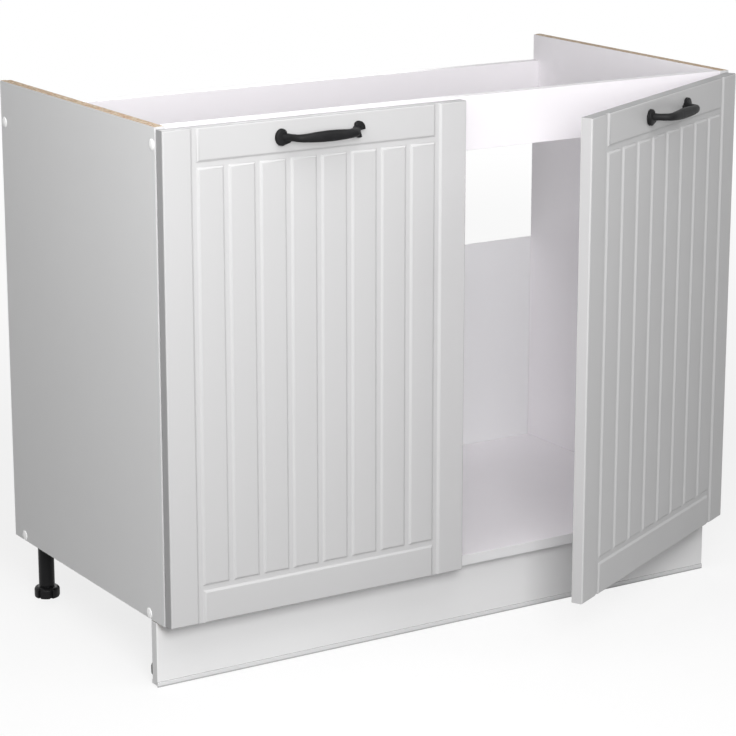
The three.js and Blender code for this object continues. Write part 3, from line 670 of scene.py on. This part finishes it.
def bow_grip():
    """The bow with both necks: ovals set square to its centre line."""
    bm = bmesh.new()
    rings = []
    for i in range(GRIP_RINGS + 1):
        share = i / GRIP_RINGS
        centre = grip_centre(share)
        step = grip_centre(min(share + STEP, 1)) - grip_centre(max(share - STEP, 0))
        swell = math.cos(math.pi / 2 * min(1, abs(centre.x) / NECK_ROOT)) ** SWELLING
        flare = COLLAR["rise"] * max(0, 1 + centre.y / COLLAR["reach"]) ** 2
        depth = NECK["depth"] + (GRIP["depth"] - NECK["depth"]) * swell + flare
        height = NECK["height"] + (GRIP["height"] - NECK["height"]) * swell + flare
        across = Vector((0, 0, 1)).cross(step).normalized()
        if i in (0, GRIP_RINGS):
            across = Vector((math.copysign(1, -centre.x), 0, 0))
        points = []
        for k in range(RING_POINTS):
            angle = 2 * math.pi * k / RING_POINTS
            side, lift = squared(math.cos(angle)) * depth, squared(math.sin(angle)) * height
            points.append(centre + across * side + Vector((0, 0, lift)))
        rings.append(ring(bm, points))
    skin_over(bm, rings)
    return closed_form(bm)


ROSETTE = [
    (0, 0), (9.3, 0), (9.9, 0.5), (10, 1.3), (9.8, 2.1), (9.3, 2.6), (9.7, 3.1), (9.9, 3.9),
    (9.7, 4.9), (9, 5.7), (7.8, 6.1), (0, 6.2),
]
TONGUE = [(0, 0), (4.8, 0), (5.1, 0.4), (5.1, 3.7), (4.8, 4.6), (4, 5.3), (2.8, 5.6), (0, 5.7)]
ROSETTE_HEIGHT = 1.22  # of a rosette against its width
TONGUE_OUT = 7.9  # from the rosette's middle to the tongue's
TONGUE_SCALE = (1, 0.84, 0.85)  # across, upright and out from the door
FLAT_SIDE = 6.4  # from a rosette's middle to the side that is cut nearly straight
BULGE = 0.14  # share of the round form that the straight side keeps


def stand(end):
    """An oval two-tier rosette, its side towards the grip cut nearly straight, with a round
    tongue on that side. end is -1 for the left one and 1 for the right one."""
    bm = revolve(ROSETTE, 48)
    for vert in bm.verts:
        past = -end * vert.co.x - FLAT_SIDE
        if past > 0:
            vert.co.x = -end * (FLAT_SIDE + BULGE * past)
    bmesh.ops.scale(bm, vec=(1, ROSETTE_HEIGHT, 1), verts=bm.verts)
    tongue = bring(bm, to_mesh("tongue", revolve(TONGUE, 36)))
    bmesh.ops.scale(bm, vec=TONGUE_SCALE, verts=tongue)
    bmesh.ops.translate(bm, vec=(-end * TONGUE_OUT, 0, 0), verts=tongue)
    return to_mesh("stand", bm)


def bow_handle(label):
    """Grip and two rosettes, cast in one, with a collar round each neck."""
    middle = SIDES[label] * HALF_WIDTH / 2
    place = door_rest(label) @ Matrix.Translation((middle, DOOR_FRONT - GAP, HANDLE_HEIGHT))
    bm = bow_grip()
    for end in (-1, 1):
        outwards = facing((end * HANDLE_CENTRES / 2, 0, 0), (0, -1, 0))
        bmesh.ops.transform(bm, matrix=outwards, verts=bring(bm, stand(end)))
    bmesh.ops.transform(bm, matrix=CARCASS @ place, verts=bm.verts)
    mesh = to_mesh("bow_handle", bm)
    piece = show(f"bow_handle_{label}", mesh, "iron", f"door_{label}")
    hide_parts(f"handle_{label}")


for label in SIDES:
    bow_handle(label)


# ---------------------------------------------------------------- small screws, pins and bumpers

ARM_WIDTH = 0.28  # half of it, as a share of the arm's length
RECESS_DEPTH = 0.75  # share of the head's height
RECESS_TAPER = 0.8
# The head from its top down to its rim, as shares of its radius and of its height.
HEAD_LEVELS = ((0.72, 0.92), (0.93, 0.6), (1.0, 0.25), (1.0, 0.0))
HEAD_SIDES = 12


def screw_head(radius, height, cross):
    """A low domed head on z = 0 with a cross recess; cross is the recess's arm length."""
    bm = bmesh.new()
    arm = cross * ARM_WIDTH
    corner = [(cross, -arm), (cross, arm), (arm, arm)]
    recess = []
    for quarter in range(4):
        turned = Matrix.Rotation(quarter * math.pi / 2, 3, "Z")
        recess += [turned @ Vector((x, y, height)) for x, y in corner]
    rim = ring(bm, recess)
    sunk = bmesh.ops.extrude_edge_only(bm, edges=rim)["geom"]
    floor_edges = [g for g in sunk if isinstance(g, bmesh.types.BMEdge) and g not in rim]
    floor_verts = [g for g in sunk if isinstance(g, bmesh.types.BMVert)]
    bmesh.ops.translate(bm, vec=(0, 0, -height * RECESS_DEPTH), verts=floor_verts)
    bmesh.ops.scale(bm, vec=(RECESS_TAPER, RECESS_TAPER, 1), verts=floor_verts)
    loop = [edge for edge in floor_edges if all(v in floor_verts for v in edge.verts)]
    bmesh.ops.contextual_create(bm, geom=loop)
    inner = rim
    for share, level in HEAD_LEVELS:
        circle = bmesh.ops.create_circle(bm, segments=HEAD_SIDES, radius=radius * share)["verts"]
        spun = Matrix.Rotation(math.pi / (2 * HEAD_SIDES), 4, "Z")
        spun.translation.z = height * level
        bmesh.ops.transform(bm, matrix=spun, verts=circle)
        outer = [edge for edge in bm.edges if all(vert in circle for vert in edge.verts)]
        bmesh.ops.bridge_loops(bm, edges=inner + outer)
        inner = outer
    bmesh.ops.contextual_create(bm, geom=inner)
    bmesh.ops.recalc_face_normals(bm, faces=bm.faces)
    for face in bm.faces:
        face.smooth = abs(face.normal.z) < 0.99
    return to_mesh("screw_head", bm)


def scatter(name, mesh, places, finish, body):
    return show(name, to_mesh(name, repeated(mesh, places)), finish, body)


def screws(name, mesh, places, body):
    return scatter(name, mesh, places, "zinc", body)


# Each head: its radius, its height and the length of its recess's arms.
flange_screw = screw_head(3.5, 0.7, 1.9)
plate_screw = screw_head(3.9, 1.3, 2.1)
adjusting_screw = screw_head(3.0, 1.1, 1.9)
handle_screw = screw_head(4.2, 1.5, 2.2)
leg_screw = screw_head(3.6, 2.2, 2.0)

# Where the heads sit: how far in from the side's outer face, how far behind its front edge, and
# how far above and below a hinge's middle.
FLANGE_SCREWS = {"in": 29.5, "behind": -0.95, "off": 23}
PLATE_SCREWS = {"in": 18.7, "behind": 37, "off": 16}
ADJUSTING_SCREWS = {"in": 29.1, "behind": (39.5, 51.5)}

for label, side in SIDES.items():
    inward = (-side, 0, 0)
    rest = door_rest(label)
    middles = HINGE_HEIGHTS.values()
    door = f"door_{label}"

    x, y = side * (HALF_WIDTH - FLANGE_SCREWS["in"]), FLANGE_SCREWS["behind"]
    heights = [z + half * FLANGE_SCREWS["off"] for z in middles for half in (-1, 1)]
    places = [rest @ facing((x, y, z), (0, 1, 0)) for z in heights]
    screws(f"cup_screws_{label}", flange_screw, places, door)

    across = [side * HALF_WIDTH / 2 + half * HANDLE_CENTRES / 2 for half in (-1, 1)]
    places = [rest @ facing((x, DOOR_BACK, HANDLE_HEIGHT), (0, 1, 0)) for x in across]
    screws(f"handle_screws_{label}", handle_screw, places, door)

    x, y = side * (HALF_WIDTH - PLATE_SCREWS["in"]), PLATE_SCREWS["behind"]
    heights = [z + half * PLATE_SCREWS["off"] for z in middles for half in (-1, 1)]
    places = [facing((x, y, z), inward) for z in heights]
    screws(f"plate_screws_{label}", plate_screw, places, "carcass")

    x = side * (HALF_WIDTH - ADJUSTING_SCREWS["in"])
    places = [facing((x, y, z), inward) for z in middles for y in ADJUSTING_SCREWS["behind"]]
    screws(f"arm_screws_{label}", adjusting_screw, places, "carcass")

EAR_REACH = 25 * math.cos(math.pi / 4)  # from the leg's middle to an ear's screw, along x and y
EAR_FACE = 96.7  # just under the flange
ear_screws = [
    facing((x + sx * EAR_REACH, y + sy * EAR_REACH, EAR_FACE), (0, 0, -1))
    for x, y in LEG_PLACES.values()
    for sx in (-1, 1)
    for sy in (-1, 1)
]
screws("leg_screws", leg_screw, ear_screws, "carcass")
scatter(
    "leg_collars",
    to_mesh("leg_collar", revolve(COLLAR_DRUM, 36)),
    [Matrix.Translation((x, y, 0)) for x, y in LEG_PLACES.values()],
    "black_plastic",
    "carcass",
)

BACK_FACE = 499.3  # just behind the back panel
PIN_COLUMN = 487.6  # from the middle of the width
PIN_HEIGHTS = range(125, 460, 82)
PIN_ROW = range(-420, 421, 120)
pin = to_mesh("pin", revolve([(0, 0), (2.2, 0), (2.2, 0.25), (1.5, 0.5), (0, 0.6)], 12))
side_pins = [(x, z) for x in (-PIN_COLUMN, PIN_COLUMN) for z in PIN_HEIGHTS]
bottom_pins = [(x, BOTTOM + BOARD / 2) for x in PIN_ROW]
pins = [facing((x, BACK_FACE, z), (0, 1, 0)) for x, z in side_pins + bottom_pins]
screws("back_panel_pins", pin, pins, "carcass")

BUMPER = [(0, 0), (4.2, 0), (4.2, 0.3), (3.6, 0.9), (2.2, 1.3), (0, 1.4)]
BUMPER_SIDE = 14  # from the middle of the width
BUMPER_HEIGHTS = (DOOR_HIGH - 10, DOOR_LOW + 6)
bumper = to_mesh("bumper", revolve(BUMPER, 20))
for label, side in SIDES.items():
    rest = door_rest(label)
    places = [
        rest @ facing((side * BUMPER_SIDE, DOOR_BACK, z), (0, 1, 0)) for z in BUMPER_HEIGHTS
    ]
    scatter(f"door_bumpers_{label}", bumper, places, "bumper", f"door_{label}")


# ---------------------------------------------------------------- edge bands, plinth sealing lip and painted joint shadow

BAND = 0.4
BAND_ROUND = 0.3
BARE = 0.1  # of a board's edge that its band leaves free
JOINT = 0.4  # between two strips that meet, or a strip and the end of its board


def strip(name, low, high, finish, body):
    """A thin strip on the front of a board, with the corners of its front rounded."""
    bm = bmesh.new()
    bmesh.ops.create_cube(bm, size=1)
    low, high = Vector(low), Vector(high)
    bmesh.ops.scale(bm, vec=high - low, verts=bm.verts)
    bmesh.ops.translate(bm, vec=(low + high) / 2, verts=bm.verts)
    middle = (low.y + high.y) / 2
    front = [edge for edge in bm.edges if all(vert.co.y < middle for vert in edge.verts)]
    bmesh.ops.bevel(
        bm,
        geom=front,
        offset=BAND_ROUND,
        segments=3,
        profile=0.5,
        affect="EDGES",
        material=-1,
    )
    bmesh.ops.transform(bm, matrix=CARCASS, verts=bm.verts)
    show(name, to_mesh(name, bm), finish, body)


for label, side in SIDES.items():
    ends = sorted((side * (HALF_WIDTH - BARE), side * (INSIDE + BARE)))
    strip(
        f"edge_band_side_{label}",
        (ends[0], -BAND, BOTTOM + BARE),
        (ends[1], 0, TOP - BARE),
        "side_band",
        "carcass",
    )
strip(
    "edge_band_bottom",
    (JOINT - INSIDE, -BAND, BOTTOM + BARE),
    (INSIDE - JOINT, 0, BOTTOM + BOARD - BARE),
    "bottom_band",
    "carcass",
)

PLINTH_FACE = 25
PLINTH_HALF = HALF_WIDTH - JOINT
# Each strip: how far it stands out of the plinth's face, how deep it sits in it, and its heights.
for name, out, sunk, low, high in (
    # The upper strip is grey painted shadow for the gap between board and edging; the lower one is
    # the soft sealing lip at the floor.
    ("plinth_joint_shadow", 0.5, 0.5, 7.4, 8.7),
    ("plinth_seal", 1, 0.4, 0.4, 2.8),
):
    strip(
        name,
        (-PLINTH_HALF, PLINTH_FACE - out, low),
        (PLINTH_HALF, PLINTH_FACE + sunk, high),
        "seal_and_joint_shadow",
        "plinth",
    )


# ---------------------------------------------------------------- studio

FLOOR_RADIUS = 30
FLOOR_BOUNCE = (0.2, 0.2, 0.2)
FLOOR_SEEN = (0.94, 0.94, 0.94)
GLOW_NEAR, GLOW_FAR = 0.8, 1.0  # share of the floor's own white, by the cabinet and far away
GLOW_FROM, GLOW_TO = 1.2, 4.0  # metres from the middle
FILL = 0.12  # strength of the sky's light
WHITE = (1.0, 1.0, 1.0, 1.0)


def looked_at(owner):
    """1 for rays that look at a thing, and 0 for those that light others by it."""
    rays = add(owner, "ShaderNodeLightPath", {}).outputs
    seen = sums(owner, "MAXIMUM", rays["Is Camera Ray"], rays["Is Glossy Ray"])
    return sums(owner, "MAXIMUM", seen, rays["Is Transmission Ray"])


def studio_floor():
    """White paper that keeps the cabinet's shadow and turns pure white further away."""
    bm = bmesh.new()
    bmesh.ops.create_circle(bm, cap_ends=True, segments=96, radius=FLOOR_RADIUS)
    floor = bpy.data.objects.new("studio_floor", to_mesh("studio_floor", bm))
    bpy.context.scene.collection.objects.link(floor)
    made = new_material("white studio floor", 0.9)
    surface = made.node_tree.nodes["Principled BSDF"]
    surface.inputs["Specular IOR Level"].default_value = 0.0
    place = coordinates(made)
    seen = looked_at(made)
    paper = noise(made, place, 2.0)
    bounce = tint(made, paper, FLOOR_BOUNCE, [0.97 * value for value in FLOOR_BOUNCE])
    made.node_tree.links.new(tint(made, seen, bounce, FLOOR_SEEN), surface.inputs["Base Color"])
    glow = add(made, "ShaderNodeEmission", {"Color": WHITE, "Strength": 1.0})
    away = add(made, "ShaderNodeVectorMath", {0: place}, operation="LENGTH").outputs["Value"]
    glowing = ramp(made, away, GLOW_FROM, GLOW_TO, GLOW_NEAR, GLOW_FAR)
    share = sums(made, "MULTIPLY", seen, glowing)
    mixed = add(made, "ShaderNodeMixShader", {0: share, 1: surface.outputs[0], 2: glow.outputs[0]})
    target = made.node_tree.nodes["Material Output"].inputs["Surface"]
    made.node_tree.links.new(mixed.outputs[0], target)
    floor.data.materials.append(made)


def studio_world():
    """Pure white behind the cabinet, and a weak even light on it."""
    world = bpy.data.worlds.new("studio")
    bpy.context.scene.world = world
    world.use_nodes = True
    tree = world.node_tree
    lit = tree.nodes["Background"]
    lit.inputs["Color"].default_value = WHITE
    lit.inputs["Strength"].default_value = FILL
    white = add(world, "ShaderNodeBackground", {"Color": WHITE, "Strength": 1.0})
    share = looked_at(world)
    mixed = add(world, "ShaderNodeMixShader", {0: share, 1: lit.outputs[0], 2: white.outputs[0]})
    tree.links.new(mixed.outputs[0], tree.nodes["World Output"].inputs["Surface"])


def soft_box(name, place, target, size, watts):
    """A square lamp of that side length, turned to its target and hidden from the camera."""
    lamp = bpy.data.lights.new(name, "AREA")
    lamp.shape = "SQUARE"
    lamp.size = size
    lamp.energy = watts
    holder = bpy.data.objects.new(name, lamp)
    bpy.context.scene.collection.objects.link(holder)
    holder.visible_camera = False
    holder.location = place
    holder.rotation_euler = (Vector(place) - Vector(target)).to_track_quat("Z", "Y").to_euler()


studio_floor()
studio_world()
soft_box("key", (-1.12, -2.28, 1.3), (0, -0.1, 0.5), 0.9, 48)
soft_box("front_wash", (-0.4, -1.1, 1.9), (-0.2, -0.5, 0.5), 1.0, 9.2)
soft_box("side_wash", (-1.2, -0.4, 1.7), (-0.4, -0.1, 0.5), 1.0, 6.8)
soft_box("corner_wash", (-1.5, -1.0, 1.3), (-0.5, -0.3, 0.6), 0.6, 3.6)
soft_box("right_wash", (1.1, -1.6, 1.95), (0.3, -0.3, 0.65), 0.8, 7)
soft_box("back_wash", (1.0, 2.4, 1.3), (0, 0.4, 0.3), 1.0, 13)

# The picture's own viewpoint, with the camera tipped down and not shifted.
EYE = (-2167.82, -3214.74, 1429.05)
TIPPED_DOWN = 14.695
HEADING = -32.017
camera = bpy.data.objects.new("camera", bpy.data.cameras.new("camera"))
bpy.context.scene.collection.objects.link(camera)
camera.location = CARCASS @ Vector(EYE)
camera.rotation_euler = (math.radians(90 - TIPPED_DOWN), 0, math.radians(HEADING))
camera.data.lens = 131.47
camera.data.sensor_width = 36
bpy.context.scene.camera = camera

bpy.context.scene.view_settings.view_transform = "Standard"
